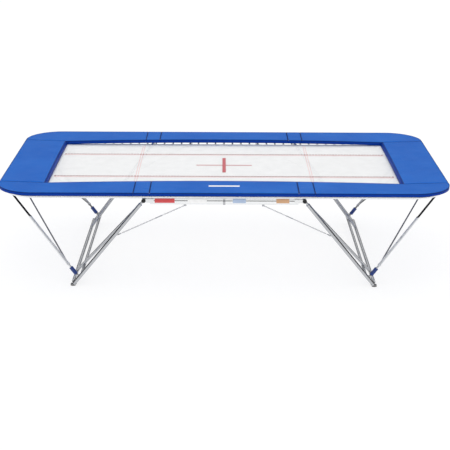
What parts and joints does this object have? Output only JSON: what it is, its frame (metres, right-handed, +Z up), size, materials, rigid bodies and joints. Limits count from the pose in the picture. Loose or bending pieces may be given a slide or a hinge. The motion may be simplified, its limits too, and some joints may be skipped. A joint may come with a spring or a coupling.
{
  "type": "trampoline",
  "caption": "Folding competition trampoline: sprung white string bed in a padded steel frame with hinged ends, fold-in leg stands, V braces and stay chains.",
  "frame": {"origin": "floor level, under the middle of the bed", "axes": "+X along the bed's length, +Y across it towards the back, +Z up"},
  "size_m": [5.31, 3.032, 1.238],
  "materials": {
    "frame_steel": "bright zinc-plated steel tube",
    "brace_steel": "zinc-plated rods with black upper ends",
    "pad_vinyl": "blue vinyl-coated fabric over foam",
    "bed_webbing": "white woven string bed",
    "spring_steel": "oiled steel spring wire",
    "hook_steel": "zinc-plated",
    "foot_rubber": "matte",
    "sleeve_plastic": "satin blue plastic",
    "dark_fastener": "black",
    "chain_steel": "zinc-plated chain"
  },
  "bodies": {
    "centre_frame": {"centre_rail_front": "frame_steel", "centre_rail_rear": "frame_steel", "truss_tube_front": "frame_steel", "truss_tube_rear": "frame_steel", "truss_clamps": "frame_steel", "centre_hinge_lugs": "frame_steel", "hinge_pins": "dark_fastener", "leg_pivot_brackets": "frame_steel", "leg_pivot_bolts": "dark_fastener", "centre_spring_hooks": "hook_steel", "centre_springs": "spring_steel", "centre_bed": "bed_webbing", "centre_pad_front": "pad_vinyl", "centre_pad_rear": "pad_vinyl", "left_hinge_pads": "pad_vinyl", "right_hinge_pads": "pad_vinyl", "left_stay_chains": "chain_steel", "right_stay_chains": "chain_steel"},
    "left_end_frame": {"left_side_rail_front": "frame_steel", "left_side_rail_rear": "frame_steel", "left_end_rail": "frame_steel", "left_hinge_lugs": "frame_steel", "left_spring_hooks": "hook_steel", "left_springs": "spring_steel", "left_bed": "bed_webbing", "left_end_pad": "pad_vinyl", "left_side_pad_front": "pad_vinyl", "left_side_pad_rear": "pad_vinyl", "left_brace_brackets": "frame_steel"},
    "left_leg_stand": {"left_leg_front": "frame_steel", "left_leg_rear": "frame_steel", "left_floor_tube": "frame_steel", "left_cross_tube": "frame_steel", "left_feet": "foot_rubber", "left_brace_pins": "frame_steel"},
    "left_front_brace_body": {"left_front_brace": "brace_steel"},
    "left_front_sleeve_body": {"left_front_sleeve": "sleeve_plastic"},
    "left_rear_brace_body": {"left_rear_brace": "brace_steel"},
    "left_rear_sleeve_body": {"left_rear_sleeve": "sleeve_plastic"},
    "right_end_frame": {"right_side_rail_front": "frame_steel", "right_side_rail_rear": "frame_steel", "right_end_rail": "frame_steel", "right_hinge_lugs": "frame_steel", "right_spring_hooks": "hook_steel", "right_springs": "spring_steel", "right_bed": "bed_webbing", "right_end_pad": "pad_vinyl", "right_side_pad_front": "pad_vinyl", "right_side_pad_rear": "pad_vinyl", "right_brace_brackets": "frame_steel"},
    "right_leg_stand": {"right_leg_front": "frame_steel", "right_leg_rear": "frame_steel", "right_floor_tube": "frame_steel", "right_cross_tube": "frame_steel", "right_feet": "foot_rubber", "right_brace_pins": "frame_steel"},
    "right_front_brace_body": {"right_front_brace": "brace_steel"},
    "right_front_sleeve_body": {"right_front_sleeve": "sleeve_plastic"},
    "right_rear_brace_body": {"right_rear_brace": "brace_steel"},
    "right_rear_sleeve_body": {"right_rear_sleeve": "sleeve_plastic"}
  },
  "joints": [
    {"name": "left_end_fold", "type": "hinge", "parent": "centre_frame", "child": "left_end_frame", "pos_m": [-0.953, 0, 1.208], "axis": [0, 1, 0], "range_deg": [0, 115], "deforming": ["left_hinge_pads"]},
    {"name": "left_leg_fold", "type": "hinge", "parent": "centre_frame", "child": "left_leg_stand", "pos_m": [-0.927, 0, 1.13], "axis": [0, -1, 0], "range_deg": [0, 68], "deforming": ["left_stay_chains"]},
    {"name": "left_front_brace_swing", "type": "hinge", "parent": "left_end_frame", "child": "left_front_brace_body", "pos_m": [-2.525, -1.11, 1.13], "axis": [0, -1, 0], "range_deg": [0, 45]},
    {"name": "left_front_sleeve_slide", "type": "slide", "parent": "left_front_brace_body", "child": "left_front_sleeve_body", "axis": [-0.5949, 0, 0.8038], "range_m": [0, 0.028]},
    {"name": "left_rear_brace_swing", "type": "hinge", "parent": "left_end_frame", "child": "left_rear_brace_body", "pos_m": [-2.525, 1.11, 1.13], "axis": [0, -1, 0], "range_deg": [0, 45]},
    {"name": "left_rear_sleeve_slide", "type": "slide", "parent": "left_rear_brace_body", "child": "left_rear_sleeve_body", "axis": [-0.5949, 0, 0.8038], "range_m": [0, 0.028]},
    {"name": "right_end_fold", "type": "hinge", "parent": "centre_frame", "child": "right_end_frame", "pos_m": [0.953, 0, 1.208], "axis": [0, -1, 0], "range_deg": [0, 115], "deforming": ["right_hinge_pads"]},
    {"name": "right_leg_fold", "type": "hinge", "parent": "centre_frame", "child": "right_leg_stand", "pos_m": [0.927, 0, 1.13], "axis": [0, 1, 0], "range_deg": [0, 68], "deforming": ["right_stay_chains"]},
    {"name": "right_front_brace_swing", "type": "hinge", "parent": "right_end_frame", "child": "right_front_brace_body", "pos_m": [2.525, -1.11, 1.13], "axis": [0, 1, 0], "range_deg": [0, 45]},
    {"name": "right_front_sleeve_slide", "type": "slide", "parent": "right_front_brace_body", "child": "right_front_sleeve_body", "axis": [0.5949, 0, 0.8038], "range_m": [0, 0.028]},
    {"name": "right_rear_brace_swing", "type": "hinge", "parent": "right_end_frame", "child": "right_rear_brace_body", "pos_m": [2.525, 1.11, 1.13], "axis": [0, 1, 0], "range_deg": [0, 45]},
    {"name": "right_rear_sleeve_slide", "type": "slide", "parent": "right_rear_brace_body", "child": "right_rear_sleeve_body", "axis": [0.5949, 0, 0.8038], "range_m": [0, 0.028]}
  ]
}
